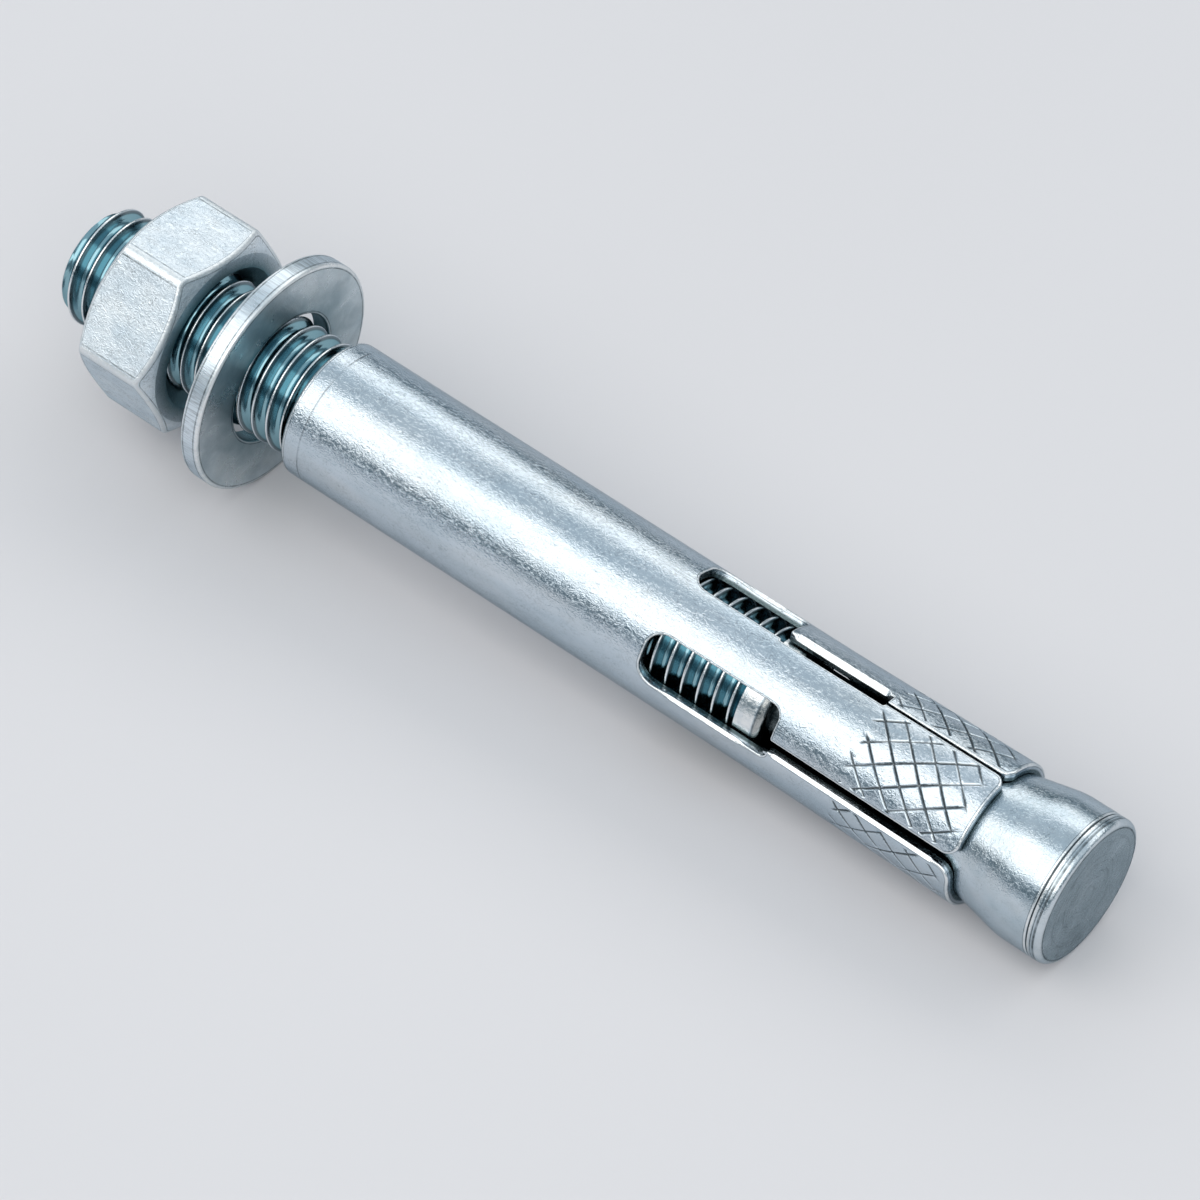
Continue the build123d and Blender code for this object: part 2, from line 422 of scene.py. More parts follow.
class BOLT_OT_stud(bpy.types.Operator):
    """Build the threaded stud with its collar, neck and cone head"""

    bl_idname = "anchor_bolt.stud"
    bl_label = "Stud"

    columns = 120
    # Rows that follow one turn of the thread, in pitches from a crest
    profile = (
        -0.5, -0.44, -0.38, -0.32, -0.26, -0.1, -0.055, -0.035,
        0.035, 0.055, 0.1, 0.26, 0.32, 0.38, 0.44,
    )
    # Rings on the tip and on the cone's face, as shares of their radius
    tip_rings = (0.0, 0.5, 1.0)
    face_rings = (0.6, 0.3, 0.0)

    def thread_rows(self, thread, angles):
        """Stations and radii of rows that wind around the bolt with the thread."""
        pitch, crest_r = thread.pitch, thread.diameter / 2
        turns = range(-2, int((thread.end - thread.start) / pitch) + 4)
        places = np.array([turn + place for turn in turns for place in self.profile])
        first_turn = np.floor((thread.start - thread.first_crest) / pitch)
        wound = angles[None, :] / (2 * pi)
        stations = thread.first_crest + pitch * (first_turn + places[:, None] + wound)
        stations = np.clip(stations, thread.start, thread.end)
        phase = (stations - thread.first_crest) / pitch - wound
        chamfer_r = crest_r - thread.tip_chamfer + (stations - thread.start)
        return stations, np.minimum(crest_r - thread_depth(phase, pitch), chamfer_r)

    def turned_line(self, head):
        """The shallow line turned into the barrel beside its rim."""
        middle, half = head.face - head.line_inset, head.line_width / 2
        soft = 0.3 * half
        shoulder_r, bottom_r = head.radius - 0.1 * head.line_depth, head.radius - head.line_depth
        return [
            (middle - half - head.edge_band, head.radius),
            (middle - half - soft, head.radius),
            (middle - half, shoulder_r),
            (middle - soft, bottom_r),
            (middle + soft, bottom_r),
            (middle + half, shoulder_r),
            (middle + half + soft, head.radius),
        ]

    def head_outline(self, thread, head):
        """Station and radius from the thread's end to the middle of the cone's face."""
        neck_r, barrel_r = head.neck_radius, head.radius
        collar_r = thread.diameter / 2 - head.collar_step
        collar_end = thread.end + head.collar_length
        barrel_start = head.face - head.barrel_length
        cone_top = barrel_start - head.cone_round * sin(head.slope)
        cone_top_r = barrel_r - head.cone_round * (1 - cos(head.slope))
        cone_foot = cone_top - (cone_top_r - neck_r) / tan(head.slope)
        rim_start, rim_r = head.face - head.rim_round, barrel_r - head.rim_round
        collar_step_length = 0.05 * MM
        points = [(thread.end + collar_step_length, collar_r)]
        points += arc(
            (collar_end - head.collar_round, collar_r - head.collar_round),
            head.collar_round, pi / 2, 0, steps=8,
        )
        points += [(collar_end, neck_r), (cone_foot, neck_r)]
        cone_rows = 6
        points += [
            (cone_foot + (cone_top - cone_foot) * row / cone_rows,
             neck_r + (cone_top_r - neck_r) * row / cone_rows)
            for row in range(1, cone_rows)
        ]
        points += arc(
            (barrel_start, barrel_r - head.cone_round), head.cone_round,
            pi / 2 + head.slope, pi / 2, steps=10,
        )
        points += self.turned_line(head) + [(rim_start - head.edge_band, barrel_r)]
        points += arc((rim_start, rim_r), head.rim_round, pi / 2, 0, steps=8)
        points += [(head.face, rim_r - head.edge_band)]
        return points + [(head.face, barrel_r * ring) for ring in self.face_rings]

    def execute(self, context):
        settings = context.scene.anchor_bolt
        thread, head = settings.thread, settings.head
        angles = even_angles(self.columns)
        stations, radii = self.thread_rows(thread, angles)
        head_stations, head_radii = spun(self.head_outline(thread, head), self.columns)
        tip_radii = np.array(self.tip_rings)[:, None] * radii[0]
        tip_stations = np.full_like(tip_radii, thread.start)
        all_stations = np.vstack((tip_stations, stations, head_stations))
        all_radii = np.vstack((tip_radii, radii, head_radii))
        # After a full turn the thread's rows have moved on by one pitch
        wrapped = list(range(len(all_stations)))
        first = len(self.tip_rings)
        last = first + len(stations) - 1
        for row in range(first, last + 1):
            wrapped[row] = min(row + len(self.profile), last)
        points = on_bolt(all_stations.T, all_radii.T, angles[:, None])
        faces = sheet_faces(len(all_stations), self.columns, wrapped)
        piece = add_piece(
            "stud_bolt", points, faces, zinc_on_stud(settings), bolt_matrix(head), crease=50.0
        )
        dress(piece, "stud", "stud")
        return {"FINISHED"}


def rounded_path(corners, period, straight_spacing, arc_spacing):
    """A path of (station, arc length) points with rounded corners that repeats after a period."""
    period = np.array((0.0, period))
    places = [np.array(corner[:2]) for corner in corners]
    places = [places[-1] - period] + places + [places[0] + period]
    fewest_steps = 4
    path = []
    for index, (_, _, radius) in enumerate(corners, start=1):
        corner = places[index]
        before = (places[index - 1] - corner) / np.linalg.norm(places[index - 1] - corner)
        after = (places[index + 1] - corner) / np.linalg.norm(places[index + 1] - corner)
        half = 0.5 * np.arccos(np.clip(before @ after, -1, 1))
        middle = (before + after) / np.linalg.norm(before + after)
        centre = corner + middle * radius / np.sin(half)
        start = corner + before * radius / np.tan(half) - centre
        end = corner + after * radius / np.tan(half) - centre
        turn = np.arctan2(start[0] * end[1] - start[1] * end[0], start @ end)
        steps = max(fewest_steps, int(np.ceil(abs(turn) * radius / arc_spacing)))
        for here in np.linspace(0, turn, steps + 1):
            path.append(centre + np.array((
                start[0] * np.cos(here) - start[1] * np.sin(here),
                start[0] * np.sin(here) + start[1] * np.cos(here),
            )))
    filled = []
    for point, following in zip(path, path[1:] + [path[0] + period]):
        pieces = max(1, int(np.ceil(np.linalg.norm(following - point) / straight_spacing)))
        filled += [point + (following - point) * step / pieces for step in range(pieces)]
    return np.array(filled)


def inward_normals(path, period):
    """Unit normals into the metal, which lies on the left of a path around the sleeve."""
    shift = np.array((0.0, period))
    ahead = np.vstack((path[1:], path[:1] + shift))
    behind = np.vstack((path[-1:] - shift, path[:-1]))
    tangent = ahead - behind
    tangent /= np.linalg.norm(tangent, axis=1)[:, None]
    return np.stack((-tangent[:, 1], tangent[:, 0]), axis=1)


def inside(points, loop):
    """Which flat points lie inside a closed flat loop."""
    result = np.zeros(len(points), bool)
    x, y = points[:, 0], points[:, 1]
    for (x0, y0), (x1, y1) in zip(loop, np.roll(loop, -1, axis=0)):
        if y0 == y1:
            continue
        crosses = (y0 > y) != (y1 > y)
        result ^= crosses & (x < (x1 - x0) * (y - y0) / (y1 - y0) + x0)
    return result


def clear_of(points, others, gap):
    """Which points lie further than a gap from all the others."""
    tree = KDTree(len(others))
    for index, other in enumerate(others):
        tree.insert((other[0], other[1], 0), index)
    tree.balance()
    return np.array([tree.find((p[0], p[1], 0))[2] > gap for p in points])


def closed_links(first, count):
    """Links that join a run of points, from one to the next and back to the first."""
    return [(first + i, first + (i + 1) % count) for i in range(count)]


class Knurl:
    """Height and lines of the diamond knurl on the unrolled sleeve"""

    # Station at which the grooves' places are given
    middle = 70.0 * MM
    # Grooves start up to twice this late and end as early, and rise and fall over these lengths
    late = 0.2 * MM
    rise, fall = 0.4 * MM, 0.9 * MM
    # Share by which the pressure wavers along a groove, and over what length
    waver, waver_length = 0.18, 2.3 * MM
    # Steps of phase from groove to groove, so that neither their ends nor their wavers line up
    late_phase, waver_phase = 2.4, 1.7
    # Fold along a groove's middle, which the materials darken as painted shade, and the share of
    # its width that counts as its middle
    middle_fold, middle_share = -1.6, 0.3
    # Strip that is kept free of other points, in widths of a groove
    clear_strip = 1.4

    def __init__(self, knurl, sleeve):
        self.start = sleeve.length - knurl.length
        self.end = sleeve.length - knurl.margin
        self.count = knurl.count
        self.step = 2 * pi * sleeve.radius / knurl.count
        self.half_width = knurl.width / 2
        self.depth = knurl.depth
        # Slope, its cosine, place and pressure of the flat grooves and the steep ones
        self.sets = (
            (tan(knurl.flat_slope), cos(knurl.flat_slope), knurl.flat_start, 0.9),
            (tan(knurl.steep_slope), cos(knurl.steep_slope), knurl.steep_start, 1.0),
        )

    def distance(self, station, across, groove_set):
        """Distance to the nearest groove of a set, and that groove's number."""
        slope, cosine, place, _ = groove_set
        phase = (across - place - slope * (station - self.middle)) / self.step
        number = np.round(phase)
        return np.abs(phase - number) * self.step * cosine, np.mod(number, self.count)

    def on_groove(self, places):
        """Which places lie on or beside a groove."""
        station, across = places[:, 0], places[:, 1]
        near = np.zeros(len(places), bool)
        for groove_set in self.sets:
            away, _ = self.distance(station, across, groove_set)
            near |= away < self.clear_strip * self.half_width
        return near & (station > self.start) & (station < self.end)

    def pressure(self, station, number, groove_set):
        """How strongly a groove is pressed at each station; it fades in and out at its ends."""
        full = groove_set[3]
        late = self.late * (1 + np.sin(number * self.late_phase + full))
        rise = np.clip((station - self.start - late) / self.rise, 0, 1)
        fall = np.clip((self.end - late - station) / self.fall, 0, 1)
        waves = np.sin(number * self.waver_phase + station / self.waver_length)
        return full * rise * fall * (1 - self.waver + self.waver * waves)

    def folds(self, station, across):
        """How sharply the surface folds inward along a groove's middle; the materials darken it as
        painted shade.
        """
        result = np.zeros(len(station))
        for groove_set in self.sets:
            away, number = self.distance(station, across, groove_set)
            fold = self.middle_fold * self.pressure(station, number, groove_set)
            result = np.where(away < self.middle_share * self.half_width, fold, result)
        return result

    def height(self, station, across):
        """Height of the surface over the smooth sleeve: 0, or negative in a groove."""
        groove = np.zeros_like(station)
        for groove_set in self.sets:
            away, number = self.distance(station, across, groove_set)
            pressure = self.pressure(station, number, groove_set)
            cut = np.clip(1 - away / self.half_width, 0, 1)
            groove = np.maximum(groove, pressure * self.depth * cut)
        return -groove

    def lines(self, spacing):
        """Chains of points along each groove's middle and two shoulders."""
        chains = []
        for slope, cosine, place, _ in self.sets:
            steps = int(np.ceil((self.end - self.start) / (spacing * cosine)))
            stations = np.linspace(self.start, self.end, steps + 1)
            for number in range(self.count):
                for side in (-1, 0, 1):
                    across = place + number * self.step + slope * (stations - self.middle)
                    across = across + side * self.half_width / cosine
                    chains.append(np.stack((stations, across), axis=1))
        return chains


class SleeveSheet:
    """The sleeve's points, faces and folds; places on it are (station, arc length)"""

    columns = 144
    row_step = 0.6 * MM
    # Steps across a rounded edge, in degrees
    edge_turns = (0, 22.5, 45, 67.5, 90)
    # Roundings at the slits' inner corners, and at the sharper ones of a stepped slit
    small_round, tight_round = 0.25 * MM, 0.135 * MM
    # Spacing of points along the outline and along the grooves
    straight_spacing, arc_spacing, groove_spacing = 0.2 * MM, 0.1 * MM, 0.4 * MM
    # Clearance, in millimetres, between the outline and other points
    groove_gap, outer_gap, inner_gap = 0.1, 0.2, 0.3
    # Bevels end this far inside a side's ends, and fade out over one length or the other
    bevel_margin, slit_fade, window_fade = 0.3 * MM, 0.6 * MM, 2.4 * MM
    # Points this near to a bevelled side's line lie on it
    on_side = 0.02 * MM
    # The plain tube ends this far before the windows
    plain_margin = 2 * MM
    # Inner radius of the flat ring on which the rest of the sleeve is laid out, and the distance
    # in it, in millimetres, at which points count as one
    flat_r, same_point = 3.5 * MM, 1e-5

    def __init__(self, settings):
        sleeve = self.sleeve = settings.sleeve
        self.knurl = Knurl(settings.knurl, sleeve)
        self.radius = sleeve.radius
        self.round_length = 2 * pi * self.radius
        self.leg_start = sleeve.length - sleeve.leg_length
        self.window_start = self.leg_start - sleeve.long_window
        self.short_end = self.window_start + sleeve.short_window
        self.split = self.window_start - self.plain_margin
        self.angles = even_angles(self.columns)
        self.points, self.faces, self.folds = [], [], []

    def add(self, points, faces, folds):
        """Adds a patch, with one fold for all its points or one for each."""
        base = sum(len(patch) for patch in self.points)
        self.points.append(points)
        self.faces.extend(tuple(base + index for index in face) for face in faces)
        self.folds.append(np.broadcast_to(folds, len(points)))

    def along_leg(self, station):
        """0 before the legs, then rising to 1 at their ends."""
        return np.clip((station - self.leg_start) / self.sleeve.leg_length, 0, 1)

    def raise_outer(self, places, height=0.0):
        outer_r = self.radius + self.sleeve.flare * self.along_leg(places[:, 0])
        return on_bolt(places[:, 0], outer_r + height, places[:, 1] / self.radius)

    def raise_inner(self, places):
        return self.raise_outer(places, -self.sleeve.wall)

    def flat(self, places):
        """The sleeve laid out as a flat ring, so that it has no seam, in millimetres."""
        turn = places[:, 1] / self.radius
        out = self.flat_r + places[:, 0] - self.split
        return np.stack((out * np.cos(turn), out * np.sin(turn)), axis=1) / MM

    def unflat(self, points):
        """Places on the sleeve from points of the flat ring."""
        points = np.array([(p[0], p[1]) for p in points]) * MM
        station = np.hypot(points[:, 0], points[:, 1]) - self.flat_r + self.split
        return np.stack((station, self.radius * np.arctan2(points[:, 1], points[:, 0])), axis=1)

    def slit(self, turn, width):
        """Both sides of a slit, in arc length."""
        middle = self.radius * turn
        return middle - width / 2, middle + width / 2

    def notch(self, turn, stepped):
        """Corners of one window with its slit, in rising angle: station, arc length, rounding."""
        sleeve, tip, step = self.sleeve, self.sleeve.length, self.knurl.start
        foot, end = self.window_start, self.short_end if stepped else self.leg_start
        small, tight = self.small_round, self.tight_round
        half_window = self.radius * np.arcsin(sleeve.window_width / 2 / self.radius)
        middle = self.radius * turn
        low, high = middle - half_window, middle + half_window
        window = [
            (end, low, sleeve.head_round),
            (foot, low, sleeve.foot_round),
            (foot, high, sleeve.foot_round),
        ]
        if not stepped:
            slit_low, slit_high = self.slit(turn + sleeve.plain_slit_turn, sleeve.plain_slit_width)
            beside_slit = 0.7 * sleeve.head_round
            to_window = [(tip, slit_low, sleeve.tip_round), (end, slit_low, small)]
            to_tip = [
                (end, high, beside_slit),
                (end, slit_high, small),
                (tip, slit_high, sleeve.tip_round),
            ]
            return to_window + window + to_tip
        wide_low, wide_high = self.slit(turn + sleeve.step_slit_turn, sleeve.step_slit_width)
        narrow = self.slit(turn + sleeve.narrow_slit_turn, sleeve.narrow_slit_width)
        narrow_low, narrow_high = narrow
        tip_round = 0.8 * sleeve.tip_round
        to_window = [
            (tip, narrow_low, tip_round),
            (step, narrow_low, tight),
            (step, wide_low, tight),
            (end, wide_low, small),
        ]
        to_tip = [
            (end, high, tight),
            (end, wide_high, tight),
            (step, wide_high, tight),
            (step, narrow_high, tight),
            (tip, narrow_high, tip_round),
        ]
        return to_window + window + to_tip

    def path(self):
        """Outline of the metal through all windows, slits and leg ends, once around the sleeve."""
        corners = []
        for half_turn in (0, pi):
            corners += self.notch(self.sleeve.window_angle - pi / 2 + half_turn, stepped=True)
            corners += self.notch(self.sleeve.window_angle + half_turn, stepped=False)
        return rounded_path(corners, self.round_length, self.straight_spacing, self.arc_spacing)

    def bevelled(self, path):
        """How far each point lies on a bevelled side, from 0 to 1, and the size of the bevel."""
        sleeve, radius = self.sleeve, self.radius
        long_turn, short_turn = sleeve.window_angle, sleeve.window_angle - pi / 2
        straight = self.window_start + sleeve.foot_round
        # Angle, width to the bevelled side, start, end, size and fade
        sides = (
            (long_turn + sleeve.plain_slit_turn, sleeve.plain_slit_width,
             self.leg_start, sleeve.length - sleeve.tip_round, sleeve.slit_bevel, self.slit_fade),
            (short_turn + sleeve.step_slit_turn, -sleeve.step_slit_width,
             self.short_end, self.knurl.start, sleeve.step_bevel, self.slit_fade),
            (long_turn, sleeve.window_width,
             straight, self.leg_start - sleeve.head_round, sleeve.window_bevel, self.window_fade),
            (short_turn, -sleeve.window_width,
             straight, self.short_end - sleeve.head_round, sleeve.window_bevel, self.window_fade),
        )
        half_round = pi * radius
        result, bevel = np.zeros(len(path)), np.zeros(len(path))
        for turn, width, start, end, size, fade in sides:
            across = radius * (turn + asin(width / 2 / radius))
            away = np.mod(path[:, 1] - across + half_round / 2, half_round) - half_round / 2
            from_ends = np.minimum(path[:, 0] - start, end - path[:, 0])
            inside_ends = np.clip((from_ends - self.bevel_margin) / fade, 0, 1)
            inside_ends = inside_ends ** 2 * (3 - 2 * inside_ends)
            here = (np.abs(away) < self.on_side) * inside_ends
            result = np.maximum(result, here)
            bevel = np.maximum(bevel, here * size)
        return result, bevel

    def add_edges(self, path):
        """The rounded or bevelled edges and the cut faces below them; returns their outer line."""
        sleeve = self.sleeve
        normals = inward_normals(path, self.round_length)
        bevelled, bevel = self.bevelled(path)
        grown = (sleeve.tip_edge_round - sleeve.edge_round) * self.along_leg(path[:, 0]) ** 2
        edges = (sleeve.edge_round + grown) * (1 - bevelled) + bevel
        boundary = path + normals * (edges + sleeve.edge_band)[:, None]
        rings = [self.raise_outer(boundary)]
        for turn in self.edge_turns:
            rounded = 1 - sin(radians(turn)), 1 - cos(radians(turn))
            straight = 1 - turn / 90, turn / 90
            offset, drop = (
                edges * (first + (second - first) * bevelled)
                for first, second in zip(rounded, straight)
            )
            rings.append(self.raise_outer(path + normals * offset[:, None], -drop))
        rings.append(self.raise_outer(path, -edges - sleeve.edge_band))
        rings.append(self.raise_inner(path))
        folds = [0.0, *rounding_folds(len(self.edge_turns)), 0.0, 0.0]
        count = len(path)
        quads = [(*link, count + link[1], count + link[0]) for link in closed_links(0, count)]
        for upper, lower, *pair in zip(rings, rings[1:], folds, folds[1:]):
            self.add(np.vstack((upper, lower)), quads, np.repeat(pair, count))
        return boundary

    def lattice(self, row_stride=1, column_stride=1):
        """Places in even rows and columns, from the plain part to the leg ends."""
        rows = np.arange(self.split + self.row_step, self.sleeve.length, self.row_step)
        return np.array([
            (row, angle * self.radius)
            for row in rows[::row_stride] for angle in self.angles[::column_stride]
        ])

    def kept_inside(self, places, loop, gap):
        """Which places lie inside a loop and clear of it."""
        places, loop = self.flat(places), self.flat(loop)
        return inside(places, loop) & clear_of(places, loop, gap)

    def fill(self, loop, extra, chains=()):
        """Triangles between the plain part and a loop, through extra points and along chains.

        Returns the places of their points, the triangles, and which points lie on the loop.
        """
        ring = np.stack((np.full(self.columns, self.split), self.angles * self.radius), axis=1)
        on_loop = range(len(ring), len(ring) + len(loop))
        links = closed_links(0, len(ring)) + closed_links(len(ring), len(loop))
        base = len(ring) + len(loop) + len(extra)
        for chain in chains:
            links += [(base + i, base + i + 1) for i in range(len(chain) - 1)]
            base += len(chain)
        flat_points = [Vector(p) for p in self.flat(np.vstack([ring, loop, extra, *chains]))]
        within_links = 1
        made, _, triangles, sources, _, _ = delaunay_2d_cdt(
            flat_points, links, [], within_links, self.same_point
        )
        in_ring = [any(source < len(ring) for source in each) for each in sources]
        in_loop = [any(source in on_loop for source in each) for each in sources]
        triangles = [triangle for triangle in triangles if not all(in_ring[i] for i in triangle)]
        return self.unflat(made), triangles, np.array(in_loop)

    def add_outer_face(self, boundary):
        """The outer face around windows and slits, with the knurl pressed into the legs."""
        lattice = self.lattice()
        lattice = lattice[self.kept_inside(lattice, boundary, self.outer_gap)]
        lattice = lattice[~self.knurl.on_groove(lattice)]
        chains = []
        for chain in self.knurl.lines(self.groove_spacing):
            kept = self.kept_inside(chain, boundary, self.groove_gap)
            breaks = np.flatnonzero(np.diff(kept.astype(int))) + 1
            parts = zip(np.split(chain, breaks), np.split(kept, breaks))
            chains += [part for part, part_kept in parts if part_kept[0] and len(part) > 1]
        places, triangles, in_loop = self.fill(boundary, lattice, chains)
        pressed = 1.0 - in_loop
        height = pressed * self.knurl.height(places[:, 0], places[:, 1])
        folds = pressed * self.knurl.folds(places[:, 0], places[:, 1])
        self.add(self.raise_outer(places, height), triangles, folds)

    def add_inner_face(self, path):
        """The bore around windows and slits, with fewer points."""
        coarse = self.lattice(row_stride=3, column_stride=2)
        coarse = coarse[self.kept_inside(coarse, path, self.inner_gap)]
        places, triangles, _ = self.fill(path, coarse)
        self.add(self.raise_inner(places), triangles, 0.0)

    def add_plain_part(self):
        """The plain tube, from its bore round the mouth to its outer face."""
        mouth_round, inner_r = self.sleeve.mouth_round, self.radius - self.sleeve.wall
        rows = 8
        bore = [
            (self.split, inner_r), (self.split / 2, inner_r), (0.0, inner_r),
            (0.0, (inner_r + self.radius - mouth_round) / 2),
        ]
        mouth = arc((mouth_round, self.radius - mouth_round), mouth_round, pi, pi / 2, steps=4)
        face = [(mouth_round + self.sleeve.edge_band, self.radius)]
        face += [
            (mouth_round + (self.split - mouth_round) * row / rows, self.radius)
            for row in range(1, rows + 1)
        ]
        folds = np.zeros(len(bore + mouth + face))
        folds[len(bore):-len(face)] = rounding_folds(len(mouth))
        self.add(*lathed(bore + mouth + face, self.angles), np.tile(folds, self.columns))


class BOLT_OT_sleeve(bpy.types.Operator):
    """Build the expansion sleeve with its windows, slits, legs and knurl"""

    bl_idname = "anchor_bolt.sleeve"
    bl_label = "Sleeve"

    def execute(self, context):
        settings = context.scene.anchor_bolt
        sheet = SleeveSheet(settings)
        path = sheet.path()
        boundary = sheet.add_edges(path)
        sheet.add_outer_face(boundary)
        sheet.add_inner_face(path)
        sheet.add_plain_part()
        piece = add_piece(
            "expansion_sleeve", np.vstack(sheet.points), sheet.faces, zinc_on_sleeve(settings),
            bolt_matrix(settings.head), crease=23.5, edges=np.concatenate(sheet.folds),
        )
        dress(piece, "sleeve", "sleeve")
        return {"FINISHED"}


class BOLT_OT_washer(bpy.types.Operator):
    """Build the loose washer"""

    bl_idname = "anchor_bolt.washer"
    bl_label = "Washer"

    columns = 192
    corner_steps = 4

    def outline(self, washer):
        """Station and radius, once around the washer's section from its front face."""
        outer_r, hole_r = washer.diameter / 2, washer.hole / 2
        back, front = washer.station, washer.station + washer.thickness
        r, rim, band = washer.edge_round, washer.rim_round, washer.edge_band

        def corner(station, radius, rounding, first):
            return arc((station, radius), rounding, first, first + pi / 2, self.corner_steps)

        outline = [(front, outer_r - rim - band)]
        outline += corner(front - rim, outer_r - rim, rim, 0)
        outline += [(front - rim - band, outer_r), (back + r + band, outer_r)]
        outline += corner(back + r, outer_r - r, r, pi / 2)
        outline += [(back, outer_r - r - band), (back, hole_r + r + band)]
        outline += corner(back + r, hole_r + r, r, pi)
        outline += [(back + r + band, hole_r), (front - r - band, hole_r)]
        outline += corner(front - r, hole_r + r, r, -pi / 2)
        return outline + [(front, hole_r + r + band), outline[0]]

    def execute(self, context):
        settings = context.scene.anchor_bolt
        points, faces = lathed(self.outline(settings.washer), even_angles(self.columns))
        piece = add_piece(
            "loose_washer", points, faces, zinc_on_washer(settings), bolt_matrix(settings.head)
        )
        dress(piece, "washer", "washer")
        return {"FINISHED"}


def nearness(first, second, band):
    """How near two heights are to meeting, from 0 to 1."""
    return np.clip(1 - np.abs(first - second) / band, 0, 1)


def soft_minimum(first, second, softness):
    """The lower of two heights, rounded where they meet."""
    return np.minimum(first, second) - nearness(first, second, softness) ** 2 * softness / 4


class BOLT_OT_nut(bpy.types.Operator):
    """Build the hexagon nut"""

    bl_idname = "anchor_bolt.nut"
    bl_label = "Nut"

    columns_a_flat = 48
    # Rows over an end chamfer and a little past it, closer together towards the end
    chamfer_rows, chamfer_bias, past_chamfer = 22, 1.2, 0.4 * MM
    half_flat = radians(30)

    def angles(self, nut):
        """Angles around the nut, closer together towards its corners."""
        even = np.linspace(-1, 1, self.columns_a_flat, endpoint=False)
        across = self.half_flat * np.sin(even * pi / 2)
        flats = [nut.turn + self.half_flat * (2 * side + 1) + across for side in range(6)]
        return np.concatenate(flats)

    def side(self, nut, angles):
        """Depths of the rows between both end faces, with their radii and the bands of painted
        highlight and rubbed metal along the edges.
        """
        from_flat = np.mod(angles - nut.turn, 2 * self.half_flat) - self.half_flat
        nearest = nut.flats / 2 / np.cos(from_flat)
        neighbour = nut.flats / 2 / np.cos(2 * self.half_flat - np.abs(from_flat))
        side_r = soft_minimum(nearest, neighbour, nut.edge_round)[None, :]
        face_r = nut.flats / 2 - nut.face_inset
        chamfer = (nut.flats / sqrt(3) - face_r) * tan(nut.chamfer)
        places = np.linspace(0, 1, self.chamfer_rows) ** self.chamfer_bias
        depth = places * (chamfer + self.past_chamfer)
        depths = np.concatenate((depth, [nut.thickness / 2], nut.thickness - depth[::-1]))
        end_distance = np.minimum(depths, nut.thickness - depths)
        cone_r = (face_r + end_distance / tan(nut.chamfer))[:, None]
        radii = soft_minimum(side_r, cone_r, nut.chamfer_round)
        corner_edge = nearness(nearest, neighbour, nut.corner_band) * (cone_r > side_r)
        wear_and_highlight = np.maximum(corner_edge, nearness(side_r, cone_r, nut.chamfer_band))
        return depths, radii, wear_and_highlight

    def execute(self, context):
        settings = context.scene.anchor_bolt
        nut = settings.nut
        angles = self.angles(nut)
        columns = len(angles)
        depths, radii, wear_and_highlight = self.side(nut, angles)
        mouth_r, face_r = nut.bore + nut.mouth, nut.flats / 2 - nut.face_inset
        lead_in = [(nut.mouth, nut.bore), (0.0, mouth_r), (0.0, (mouth_r + face_r) / 2)]
        lead_out = [(nut.thickness - depth, radius) for depth, radius in reversed(lead_in)]
        in_s, in_r = spun(lead_in, columns)
        out_s, out_r = spun(lead_out + lead_in[:1], columns)
        side_s = np.repeat(depths[:, None], columns, axis=1)
        stations = nut.station + np.vstack((in_s, side_s, out_s))
        points = on_bolt(stations.T, np.vstack((in_r, radii, out_r)).T, angles[:, None])
        edges = np.vstack((np.zeros_like(in_s), wear_and_highlight, np.zeros_like(out_s))).T.ravel()
        piece = add_piece(
            "hexagon_nut", points, sheet_faces(len(stations), columns), zinc_on_nut(settings),
            bolt_matrix(settings.head), crease=26.0, edges=edges,
        )
        dress(piece, "nut", "nut")
        return {"FINISHED"}


